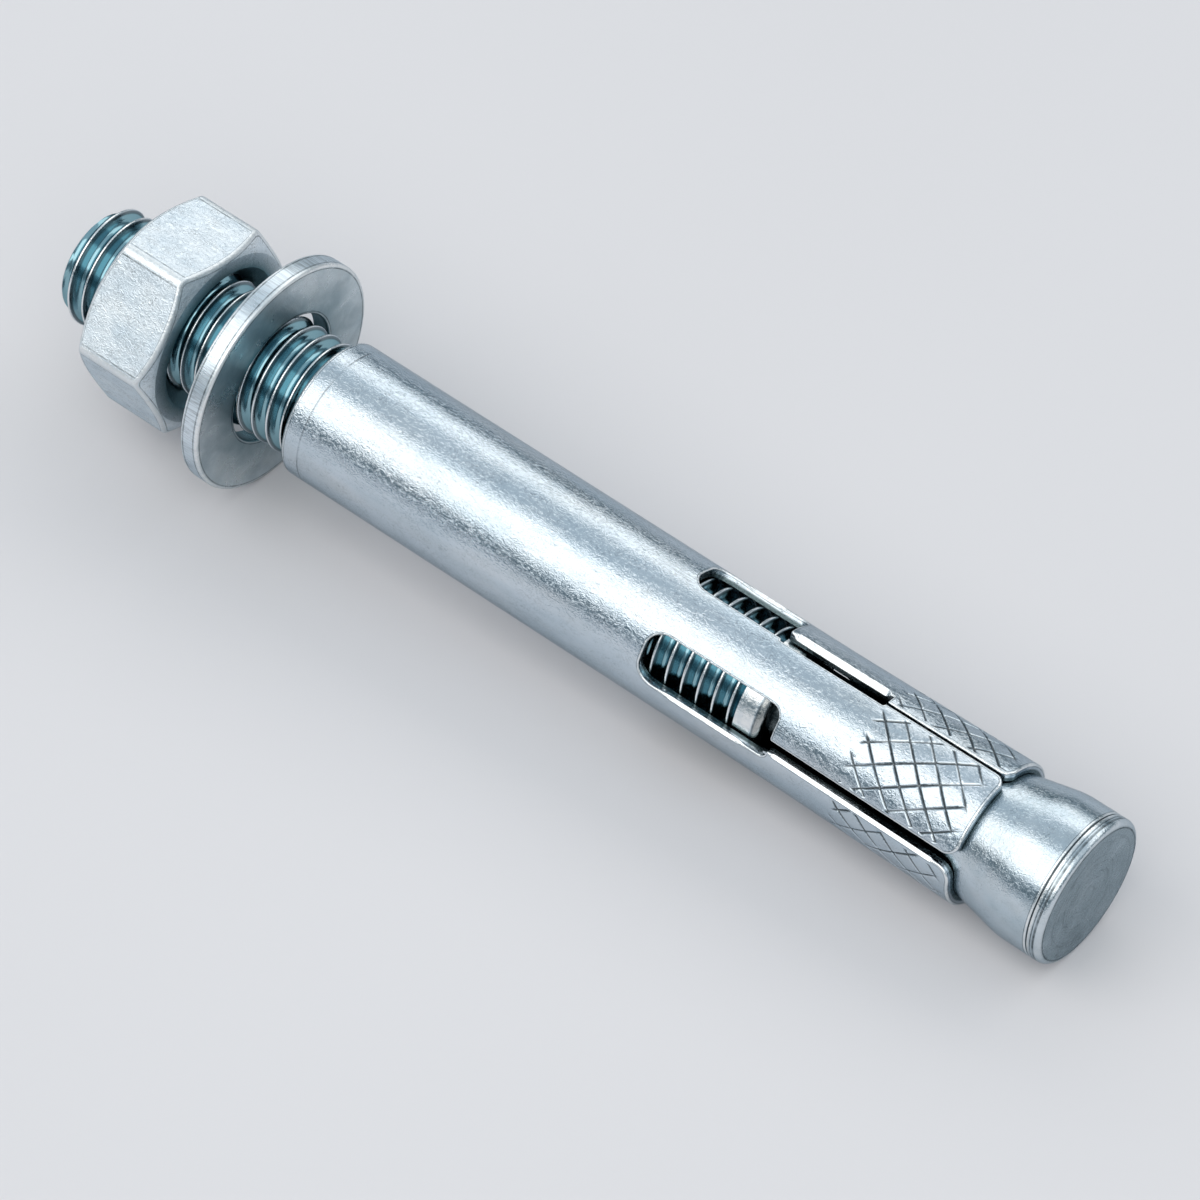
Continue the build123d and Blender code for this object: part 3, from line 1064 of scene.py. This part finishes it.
class Nodes:
    """Adds shader nodes to a tree; an input is a plain value or another node's output"""

    def __init__(self, tree):
        self.tree = tree

    def add(self, kind, inputs=None, **settings):
        node = self.tree.nodes.new(kind)
        for name, value in settings.items():
            setattr(node, name, value)
        for name, value in (inputs or {}).items():
            socket = node.inputs[name]
            if isinstance(value, bpy.types.NodeSocket):
                self.tree.links.new(value, socket)
            else:
                socket.default_value = value
        return node

    def maths(self, operation, *values):
        inputs = dict(enumerate(values))
        return self.add("ShaderNodeMath", inputs, operation=operation).outputs[0]

    def times(self, first, second):
        return self.maths("MULTIPLY", first, second)

    def vector(self, operation, *values):
        inputs = dict(enumerate(values))
        node = self.add("ShaderNodeVectorMath", inputs, operation=operation)
        return node.outputs["Value" if operation in ("DOT_PRODUCT", "LENGTH") else "Vector"]

    def combined(self, x, y, z):
        return self.add("ShaderNodeCombineXYZ", {"X": x, "Y": y, "Z": z}).outputs["Vector"]

    def separated(self, place):
        return self.add("ShaderNodeSeparateXYZ", {"Vector": place}).outputs

    def noise(self, place, scale, detail=2.0, distortion=0.0):
        inputs = {"Vector": place, "Scale": scale, "Detail": detail, "Distortion": distortion}
        return self.add("ShaderNodeTexNoise", inputs).outputs["Fac"]

    def span(self, value, low, high, to_low=0.0, to_high=1.0):
        """The value spread from low...high onto another range, and held at its ends."""
        inputs = {
            "Value": value, "From Min": low, "From Max": high, "To Min": to_low, "To Max": to_high,
        }
        return self.add("ShaderNodeMapRange", inputs, clamp=True).outputs["Result"]

    def below(self, value, low, high):
        """1 up to low, falling to 0 at high."""
        return self.span(value, low, high, 1.0, 0.0)

    def band(self, value, rise, fall):
        """A mask that rises from 0 to 1 over one range and falls back over another."""
        return self.times(self.span(value, *rise), self.below(value, *fall))

    def blend(self, share_of_second, first, second):
        """A colour between two others."""
        # The node's colour sockets share their names with its other sockets, so they go by number
        factor, colour_a, colour_b, result = 0, 6, 7, 2
        inputs = {factor: share_of_second, colour_a: first, colour_b: second}
        return self.add("ShaderNodeMix", inputs, data_type="RGBA").outputs[result]


def new_group(name, inputs, outputs):
    """A shader group with named sockets: its tree, its nodes and what its inputs bring."""
    group = bpy.data.node_groups.new(name, "ShaderNodeTree")
    for socket, kind, default in inputs:
        made = group.interface.new_socket(socket, in_out="INPUT", socket_type="NodeSocket" + kind)
        if default is not None:
            made.default_value = default
    for socket, kind in outputs:
        group.interface.new_socket(socket, in_out="OUTPUT", socket_type="NodeSocket" + kind)
    nodes = Nodes(group)
    return group, nodes, nodes.add("NodeGroupInput").outputs


def bolt_place_group(head):
    """Place on the bolt in millimetres: station, height and side, and distance from the axis."""
    outputs = (("Place", "Vector"), ("Radius", "Float"))
    group, nodes, _ = new_group("bolt_place", (), outputs)
    start = bolt_matrix(head).translation
    here = nodes.add("ShaderNodeTexCoord").outputs["Object"]
    here = nodes.vector("SUBTRACT", here, tuple(start))
    station, up, side = (
        nodes.vector("DOT_PRODUCT", here, tuple(axis / MM)) for axis in (ALONG, UPWARD, SIDEWAYS)
    )
    radius = nodes.vector("LENGTH", nodes.combined(0.0, up, side))
    place = nodes.combined(station, up, side)
    nodes.add("NodeGroupOutput", {"Place": place, "Radius": radius})
    return group


def drawn_out(nodes, given):
    """The place drawn out along the bolt by Stretch, and the noise scale for a Cell."""
    squeeze = nodes.combined(nodes.maths("DIVIDE", 1.0, given["Stretch"]), 1.0, 1.0)
    scale = nodes.maths("DIVIDE", 1.0, given["Cell"])
    return nodes.vector("MULTIPLY", given["Place"], squeeze), scale


def mottle_group():
    """Blotches of lighter and darker zinc, drawn out along the bolt, with a faint warm tint."""
    group, nodes, given = new_group(
        "zinc_mottle",
        (
            ("Place", "Vector", None),
            ("Cell", "Float", 2.0),
            ("Stretch", "Float", 2.0),
            ("Light", "Color", (1, 1, 1, 1)),
            ("Dark", "Color", (0, 0, 0, 1)),
            ("Warm", "Color", (1, 1, 1, 1)),
            ("Warmth", "Float", 0.2),
        ),
        (("Colour", "Color"), ("Mask", "Float")),
    )
    place, scale = drawn_out(nodes, given)
    mask = nodes.span(nodes.noise(place, scale, detail=6.0, distortion=0.4), 0.3, 0.7)
    elsewhere = nodes.vector("ADD", place, (31.0, 7.0, 11.0))
    warm = nodes.span(nodes.noise(elsewhere, scale, detail=3.0), 0.45, 0.75)
    tint = nodes.blend(mask, given["Dark"], given["Light"])
    tint = nodes.blend(nodes.times(warm, given["Warmth"]), tint, given["Warm"])
    nodes.add("NodeGroupOutput", {"Colour": tint, "Mask": mask})
    return group


def grain_group():
    """Height of the fine worm-like grain of plated steel over slow waves, and its dark lines."""
    group, nodes, given = new_group(
        "zinc_grain",
        (
            ("Place", "Vector", None),
            ("Cell", "Float", 0.5),
            ("Stretch", "Float", 1.0),
            ("Waves", "Float", 0.3),
        ),
        (("Height", "Float"), ("Mask", "Float"), ("Lines", "Float")),
    )
    place, scale = drawn_out(nodes, given)
    worms = nodes.noise(place, scale, detail=2.5, distortion=1.2)
    ridges = nodes.maths("ABSOLUTE", nodes.maths("SUBTRACT", worms, 0.5))
    waves = nodes.noise(place, nodes.times(scale, 0.12), detail=1.0)
    waves = nodes.times(waves, nodes.times(given["Waves"], 8.0))
    height = nodes.maths("MULTIPLY_ADD", ridges, 2.0, waves)
    patchy = nodes.span(nodes.noise(place, nodes.times(scale, 0.3), detail=2.0), 0.35, 0.65)
    lines = nodes.times(nodes.below(ridges, 0.0, 0.035), patchy)
    mask = nodes.span(worms, 0.35, 0.65)
    nodes.add("NodeGroupOutput", {"Height": height, "Mask": mask, "Lines": lines})
    return group


def scratch_group():
    """Thin, broken scratches, which run in the direction where Squeeze is small."""
    group, nodes, given = new_group(
        "fine_scratches",
        (
            ("Place", "Vector", None),
            ("Squeeze", "Vector", (1.0, 1.0, 1.0)),
            ("Width", "Float", 0.02),
            ("Amount", "Float", 0.5),
        ),
        (("Mask", "Float"),),
    )
    place = nodes.vector("MULTIPLY", given["Place"], given["Squeeze"])
    uneven = nodes.noise(place, 1.0, detail=3.0)
    lines = nodes.maths("ABSOLUTE", nodes.maths("SUBTRACT", uneven, 0.5))
    lines = nodes.below(lines, 0.0, given["Width"])
    breaks = nodes.noise(given["Place"], 0.35, detail=2.0)
    kept = nodes.span(breaks, nodes.maths("SUBTRACT", 0.75, given["Amount"]), 0.8)
    nodes.add("NodeGroupOutput", {"Mask": nodes.times(lines, kept)})
    return group


def wear_and_light_group():
    """Bright edges where the surface folds outward, part rubbed metal and part painted highlight,
    a painted shade line beside them, and painted shade in inward folds.
    """
    group, nodes, given = new_group(
        "edge_wear_and_light",
        (("Place", "Vector", None), ("Amount", "Float", 1.0)),
        (("Mask", "Float"), ("Line", "Float"), ("CreviceShade", "Float")),
    )
    fold = nodes.add("ShaderNodeAttribute", attribute_name="edge").outputs["Fac"]
    uneven = nodes.noise(given["Place"], 1.3, detail=4.0)
    # The bright mask is painted highlight on partly rubbed metal. The painted shade line lies
    # where the fold fades out, between the flat and the tangent line
    bright = nodes.times(nodes.span(fold, 0.32, 0.5), nodes.span(uneven, 0.3, 0.55, 0.45, 1.0))
    line = nodes.band(fold, (0.11, 0.16), (0.26, 0.34))
    line = nodes.times(line, nodes.span(uneven, 0.3, 0.6, 1.0, 0.5))
    # Painted shade in inward folds, such as the knurl's grooves
    crevice_shade = nodes.below(fold, -0.9, -0.3)
    masks = {"Mask": bright, "Line": line, "CreviceShade": crevice_shade}
    amounts = {name: nodes.times(mask, given["Amount"]) for name, mask in masks.items()}
    nodes.add("NodeGroupOutput", amounts)
    return group


def rgba(tint):
    return (*tint, 1.0)


class ZincMaterial:
    """A zinc-plated material, with mottled colour, grain, scratches, and rubbed edges with painted
    highlight and painted shade from groups
    """

    def __init__(self, name, settings):
        self.finish = settings.finish
        self.material = bpy.data.materials.new(name)
        self.material.use_nodes = True
        self.nodes = Nodes(self.material.node_tree)
        self.shader = self.material.node_tree.nodes["Principled BSDF"]
        self.shader.inputs["Metallic"].default_value = 1.0
        spot = self.group("bolt_place", lambda: bolt_place_group(settings.head))
        self.place, self.radius = spot["Place"], spot["Radius"]

    def group(self, name, make, inputs=None):
        """Outputs of a shared group, which is made when it is first used."""
        tree = bpy.data.node_groups.get(name) or make()
        return self.nodes.add("ShaderNodeGroup", inputs, node_tree=tree).outputs

    def mottle(self, light, dark, cell, stretch, warmth):
        inputs = {
            "Place": self.place, "Cell": cell, "Stretch": stretch, "Light": rgba(light),
            "Dark": rgba(dark), "Warm": rgba(self.finish.warm), "Warmth": warmth,
        }
        return self.group("zinc_mottle", mottle_group, inputs)

    def grain(self, cell, stretch, waves):
        inputs = {"Place": self.place, "Cell": cell, "Stretch": stretch, "Waves": waves}
        return self.group("zinc_grain", grain_group, inputs)

    def scratches(self, squeeze, width, amount, place=None):
        inputs = {
            "Place": place or self.place, "Squeeze": squeeze, "Width": width, "Amount": amount,
        }
        return self.group("fine_scratches", scratch_group, inputs)["Mask"]

    def tinted(self, tint, colour, mask, most=None):
        """The tint, turned into the colour as far as the mask goes, or a share of that."""
        if most is not None:
            mask = self.nodes.times(mask, most)
        return self.nodes.blend(mask, tint, rgba(colour))

    def with_edges(self, tint, amount):
        """The tint with bright edges of rubbed metal and painted highlight, a painted shade line
        beside them and painted shade in grooves.
        """
        edge_light_and_wear = self.group("edge_wear_and_light", wear_and_light_group, {"Place": self.place, "Amount": amount})
        tint = self.tinted(tint, self.finish.line, edge_light_and_wear["Line"])
        tint = self.tinted(tint, self.finish.line, edge_light_and_wear["CreviceShade"])
        return self.tinted(tint, self.finish.wear_and_highlight, edge_light_and_wear["Mask"])

    def uneven_roughness(self, mask, roughness, low, high):
        """The roughness, lower where the mask is 0 and higher where it is 1."""
        return self.nodes.span(mask, 0.0, 1.0, roughness + low, roughness + high)

    def finish_with(self, tint, roughness, *heights):
        """Links colour, roughness and the bump of the heights, which are given in micrometres."""
        nodes, links = self.nodes, self.material.node_tree.links
        links.new(tint, self.shader.inputs["Base Color"])
        links.new(roughness, self.shader.inputs["Roughness"])
        self.shader.inputs["Specular Tint"].default_value = rgba(self.finish.grazing)
        height = 0.0
        for value, micrometres in heights:
            height = nodes.maths("MULTIPLY_ADD", value, micrometres, height)
        bump = nodes.add("ShaderNodeBump", {"Height": height, "Distance": 0.001 * MM})
        links.new(bump.outputs["Normal"], self.shader.inputs["Normal"])
        return self.material


# In the materials, lengths and places are in millimetres


def zinc_on_sleeve(settings):
    """Drawn tube: worm-like grain that breaks up each reflection, and duller sheared faces."""
    finish, sleeve = settings.finish, settings.sleeve
    zinc = ZincMaterial("zinc_on_sleeve", settings)
    nodes = zinc.nodes
    light, dark = finish.sleeve_light, finish.sleeve_dark
    mottle = zinc.mottle(light, dark, cell=3.0, stretch=4.0, warmth=0.25)
    grain = zinc.grain(cell=0.38, stretch=1.4, waves=0.22)
    along = zinc.scratches(squeeze=(0.05, 2.4, 2.4), width=0.012, amount=0.5)
    station = nodes.separated(zinc.place)["X"]
    end, leg_start = sleeve.length / MM, (sleeve.length - sleeve.leg_length) / MM
    flare = nodes.span(station, leg_start, end, 0.0, sleeve.flare / MM)
    outer_r = nodes.maths("ADD", flare, sleeve.radius / MM)
    sheared = nodes.span(nodes.maths("SUBTRACT", outer_r, zinc.radius), 0.42, 0.6)
    line = sleeve.mouth_line / MM
    mouth_line = nodes.band(station, (line - 0.12, line - 0.04), (line, line + 0.14))
    mouth_line = nodes.times(mouth_line, nodes.span(mottle["Mask"], 0.25, 0.6, 0.15, 1.0))
    tint = zinc.tinted(mottle["Colour"], finish.line, grain["Lines"], most=0.4)
    tint = zinc.tinted(tint, finish.line, mouth_line, most=0.6)
    tint = zinc.tinted(tint, finish.cut, sheared)
    # Painted highlight and painted shade along the edges, on partly rubbed metal, and painted
    # shade in the knurl's grooves
    tint = zinc.with_edges(tint, 0.9)
    roughness = zinc.uneven_roughness(grain["Mask"], finish.sleeve_roughness, -0.03, 0.06)
    roughness = nodes.maths("MULTIPLY_ADD", sheared, 0.12, roughness)
    return zinc.finish_with(
        tint, roughness, (grain["Height"], 32.0), (along, -4.0), (mouth_line, -14.0)
    )


def zinc_on_stud(settings):
    """Rolled thread with painted highlight on its crests and painted shade beside them, blue-green
    passivation and painted shade in its recesses, a finely speckled cone and darker ringed ends.
    """
    finish, thread, head = settings.finish, settings.thread, settings.head
    zinc = ZincMaterial("zinc_on_stud", settings)
    nodes = zinc.nodes
    light, dark = finish.stud_light, finish.stud_dark
    mottle = zinc.mottle(light, dark, cell=2.2, stretch=1.5, warmth=0.2)
    grain = zinc.grain(cell=0.34, stretch=1.0, waves=0.25)
    turned = zinc.scratches(squeeze=(3.0, 0.08, 0.08), width=0.02, amount=0.4)
    crest, tip, end, face = (
        size / MM for size in (thread.diameter / 2, thread.start, thread.end, head.face)
    )
    collar_end = end + head.collar_length / MM
    bend_start = collar_end - head.collar_round / MM
    spot = nodes.separated(zinc.place)
    station = spot["X"]
    past_tip, past_thread = (tip + 0.01, tip + 0.05), (end, end + 0.1)

    # The thread: painted highlight on the crest, painted shade on the flank just below it, and
    # blue-green passivation with painted shade in the root
    threaded = nodes.times(nodes.below(station, *past_thread), nodes.span(station, *past_tip))
    recess_tint_and_shade = nodes.times(nodes.below(zinc.radius, crest - 0.3, crest - 0.1), threaded)
    shoulder_shade = nodes.band(zinc.radius, (crest - 0.4, crest - 0.3), (crest - 0.1, crest - 0.05))
    shoulder_shade = nodes.times(shoulder_shade, threaded)
    crest_highlight = nodes.times(nodes.span(zinc.radius, crest - 0.04, crest - 0.01), threaded)

    # Painted shade on the collar's rounded end
    shade_on_bend = nodes.band(
        station, (bend_start, bend_start + 0.15), (collar_end + 0.02, collar_end + 0.1)
    )

    # Both flat ends, darker and rougher, with rings that were left by turning
    on_face = nodes.maths(
        "ADD", nodes.span(station, face - 0.05, face - 0.01), nodes.below(station, *past_tip)
    )
    along_rings = 0.05
    across = nodes.combined(
        zinc.radius, nodes.times(spot["Y"], along_rings), nodes.times(spot["Z"], along_rings)
    )
    rings = zinc.scratches(squeeze=(1.1, 1.6, 1.6), width=0.03, amount=0.7, place=across)
    rings = nodes.times(rings, on_face)

    tint = zinc.tinted(mottle["Colour"], finish.line, grain["Lines"], most=0.35)
    # Blue-green passivation with painted shade in the thread's roots
    tint = zinc.tinted(tint, finish.recess_tint_and_shade, recess_tint_and_shade)
    # Painted shade on the flank just below each crest
    tint = zinc.tinted(tint, finish.line, shoulder_shade, most=0.7)
    # Painted shade on the collar's rounded end
    tint = zinc.tinted(tint, finish.bend, shade_on_bend, most=0.85)
    # Darker tint on both flat ends
    darker_end = nodes.blend(nodes.times(mottle["Mask"], 0.4), rgba(finish.end_face), tint)
    darker_end = zinc.tinted(darker_end, finish.line, rings, most=0.5)
    tint = nodes.blend(on_face, tint, darker_end)
    # Painted highlight and painted shade along the head's edges, on partly rubbed metal
    tint = zinc.with_edges(tint, nodes.span(station, *past_thread))
    # Painted highlight on the thread's crests
    tint = zinc.tinted(tint, finish.wear_and_highlight, crest_highlight)
    roughness = zinc.uneven_roughness(grain["Mask"], finish.stud_roughness, -0.04, 0.06)
    roughness = nodes.maths("MULTIPLY_ADD", on_face, 0.15, roughness)
    speckle = nodes.times(grain["Height"], nodes.maths("SUBTRACT", 1.0, recess_tint_and_shade))
    return zinc.finish_with(tint, roughness, (speckle, 20.0), (turned, -5.0), (rings, -12.0))


def zinc_on_washer(settings):
    """Punched washer: blotched faces, a rim brushed across, and painted shade in the hole and on
    the face around it.
    """
    finish, washer = settings.finish, settings.washer
    zinc = ZincMaterial("zinc_on_washer", settings)
    nodes = zinc.nodes
    light, dark = finish.washer_light, finish.washer_dark
    mottle = zinc.mottle(light, dark, cell=2.4, stretch=1.0, warmth=0.2)
    grain = zinc.grain(cell=0.5, stretch=1.0, waves=0.3)
    brushed = zinc.scratches(squeeze=(0.25, 3.0, 3.0), width=0.08, amount=0.7)
    hole_r, outer_r = washer.hole / 2 / MM, washer.diameter / 2 / MM
    hole_shade = nodes.below(zinc.radius, hole_r + 0.1, hole_r + 0.2)
    on_rim = nodes.span(zinc.radius, outer_r - 0.2, outer_r - 0.1)
    # Painted shade on the face, fading out from the hole
    shade_around_hole = nodes.span(zinc.radius, hole_r, hole_r + 4.0, 0.6, 0.0)
    tint = zinc.tinted(mottle["Colour"], finish.hollow_shade, shade_around_hole)
    tint = zinc.tinted(tint, finish.rim, on_rim)
    strokes = nodes.times(brushed, nodes.span(on_rim, 0.0, 1.0, 0.1, 0.5))
    tint = zinc.tinted(tint, finish.line, strokes)
    # Painted highlight and painted shade along the edges, on partly rubbed metal
    tint = zinc.with_edges(tint, 0.9)
    # Painted shade on the hole's wall
    tint = zinc.tinted(tint, finish.hollow_shade, hole_shade)
    roughness = zinc.uneven_roughness(mottle["Mask"], finish.washer_roughness, 0.06, -0.06)
    return zinc.finish_with(tint, roughness, (grain["Height"], 10.0), (brushed, -8.0))


def zinc_on_nut(settings):
    """Satin nut with a fine grain along the bolt, bright edges of painted highlight and rubbed
    metal, and painted shade in and around the bore.
    """
    finish, nut = settings.finish, settings.nut
    zinc = ZincMaterial("zinc_on_nut", settings)
    nodes = zinc.nodes
    light, dark = finish.nut_light, finish.nut_dark
    mottle = zinc.mottle(light, dark, cell=2.0, stretch=1.8, warmth=0.05)
    grain = zinc.grain(cell=0.40, stretch=1.4, waves=0.15)
    along = zinc.scratches(squeeze=(0.6, 2.2, 2.2), width=0.04, amount=0.6)
    # Painted shade in the countersink and the bore, fading out over the end face
    bore_shade = nodes.below(zinc.radius, (nut.bore + nut.mouth) / MM, nut.flats / 2 / MM)
    tint = zinc.tinted(mottle["Colour"], finish.line, grain["Lines"], most=0.6)
    tint = zinc.tinted(tint, finish.line, along, most=0.15)
    # Painted highlight and painted shade along the edges, on partly rubbed metal
    tint = zinc.with_edges(tint, 0.75)
    tint = zinc.tinted(tint, finish.hollow_shade, bore_shade)
    roughness = zinc.uneven_roughness(grain["Mask"], finish.nut_roughness, -0.06, 0.05)
    return zinc.finish_with(tint, roughness, (grain["Height"], 40.0), (along, -6.0))


def soft_light(name, side, low, high, stage, radiance):
    """An even rectangular light over one side of the bolt, between two angles above the floor."""
    middle, half = (low + high) / 2, (high - low) / 2
    direction = Vector((0, side * cos(middle), sin(middle)))
    light = bpy.data.lights.new(name, "AREA")
    light.shape = "RECTANGLE"
    light.size = stage.light_width
    light.size_y = 2 * stage.light_distance * tan(half)
    light.color = stage.lamp_colour
    light.energy = radiance * pi * light.size * light.size_y
    lamp = bpy.data.objects.new(name, light)
    lamp.location = direction * stage.light_distance
    lamp.rotation_euler = direction.to_track_quat("Z", "Y").to_euler()
    bpy.context.scene.collection.objects.link(lamp)


def studio_world(stage):
    """Pale sky over a dark band, which ends above the floor's own colour at the horizon."""
    world = bpy.data.worlds.new("studio")
    world.use_nodes = True
    nodes = Nodes(world.node_tree)
    height = nodes.separated(nodes.add("ShaderNodeTexCoord").outputs["Generated"])["Z"]
    # Angles above the floor, in degrees, over which each part of the room fades into the next
    floor_to_sky, into_gap, out_of_gap = (
        tuple(sin(radians(angle)) for angle in angles) for angles in ((1, 2), (2, 6), (17, 26))
    )
    gap = nodes.band(height, into_gap, out_of_gap)
    horizon = nodes.below(height, *floor_to_sky)
    seen = nodes.blend(horizon, rgba(stage.sky_colour), rgba(stage.floor_colour))
    seen = nodes.blend(gap, seen, rgba(stage.gap_colour))
    world.node_tree.links.new(seen, world.node_tree.nodes["Background"].inputs["Color"])
    return world


def pale_floor(stage):
    """A matt floor with the faintest unevenness."""
    material = bpy.data.materials.new("pale_floor")
    material.use_nodes = True
    nodes = Nodes(material.node_tree)
    here = nodes.add("ShaderNodeTexCoord").outputs["Object"]
    cloud = nodes.span(nodes.noise(here, 9.0, detail=2.0), 0.2, 0.8)
    tint, unevenness = Vector(stage.floor_colour), 0.015
    colours = rgba(tint * (1 - unevenness)), rgba(tint * (1 + unevenness))
    shader = material.node_tree.nodes["Principled BSDF"]
    material.node_tree.links.new(nodes.blend(cloud, *colours), shader.inputs["Base Color"])
    shader.inputs["Roughness"].default_value = 0.9
    return material


class BOLT_OT_stage(bpy.types.Operator):
    """Set up the pale floor, the soft lights and the camera"""

    bl_idname = "anchor_bolt.stage"
    bl_label = "Stage"

    # In millimetres, as Blender gives lenses
    sensor_width = 36

    def execute(self, context):
        stage = context.scene.anchor_bolt.stage
        bpy.ops.mesh.primitive_plane_add(size=stage.floor_size, location=(0, 0, 0))
        floor = context.object
        floor.name = "floor"
        floor.data.materials.append(pale_floor(stage))
        soft_light("near_light", -1, stage.near_low, stage.near_high, stage, stage.near_radiance)
        soft_light("far_light", 1, stage.far_low, stage.far_high, stage, stage.far_radiance)
        context.scene.world = studio_world(stage)
        camera_data = bpy.data.cameras.new("camera")
        camera_data.lens, camera_data.sensor_width = stage.camera_lens, self.sensor_width
        camera = bpy.data.objects.new("camera", camera_data)
        back = Vector((
            sin(stage.camera_turn) * cos(stage.camera_height),
            -cos(stage.camera_turn) * cos(stage.camera_height),
            sin(stage.camera_height),
        ))
        camera.location = Vector(stage.camera_aim) + back * stage.camera_distance
        camera.rotation_euler = back.to_track_quat("Z", "Y").to_euler()
        context.scene.collection.objects.link(camera)
        context.scene.camera = camera
        context.scene.view_settings.view_transform = "Standard"
        return {"FINISHED"}


class BOLT_PT_panel(bpy.types.Panel):
    """Lists the steps that build the anchor bolt"""

    bl_idname = "BOLT_PT_panel"
    bl_label = "Anchor bolt"
    bl_space_type = "VIEW_3D"
    bl_region_type = "UI"
    bl_category = "Anchor bolt"

    def draw(self, context):
        for operator in (BOLT_OT_stud, BOLT_OT_sleeve, BOLT_OT_washer, BOLT_OT_nut, BOLT_OT_stage):
            self.layout.operator(operator.bl_idname)


CLASSES = (
    ThreadSizes,
    HeadSizes,
    SleeveSizes,
    KnurlSizes,
    WasherSizes,
    NutSizes,
    FinishSettings,
    StageSettings,
    AnchorBoltSettings,
    BOLT_OT_stud,
    BOLT_OT_sleeve,
    BOLT_OT_washer,
    BOLT_OT_nut,
    BOLT_OT_stage,
    BOLT_PT_panel,
)


def register():
    for each in CLASSES:
        bpy.utils.register_class(each)
    bpy.types.Scene.anchor_bolt = PointerProperty(type=AnchorBoltSettings)


def unregister():
    del bpy.types.Scene.anchor_bolt
    for each in reversed(CLASSES):
        bpy.utils.unregister_class(each)


def main():
    register()
    bpy.ops.anchor_bolt.stud()
    bpy.ops.anchor_bolt.sleeve()
    bpy.ops.anchor_bolt.washer()
    bpy.ops.anchor_bolt.nut()
    bpy.ops.anchor_bolt.stage()


if __name__ == "__main__":
    main()
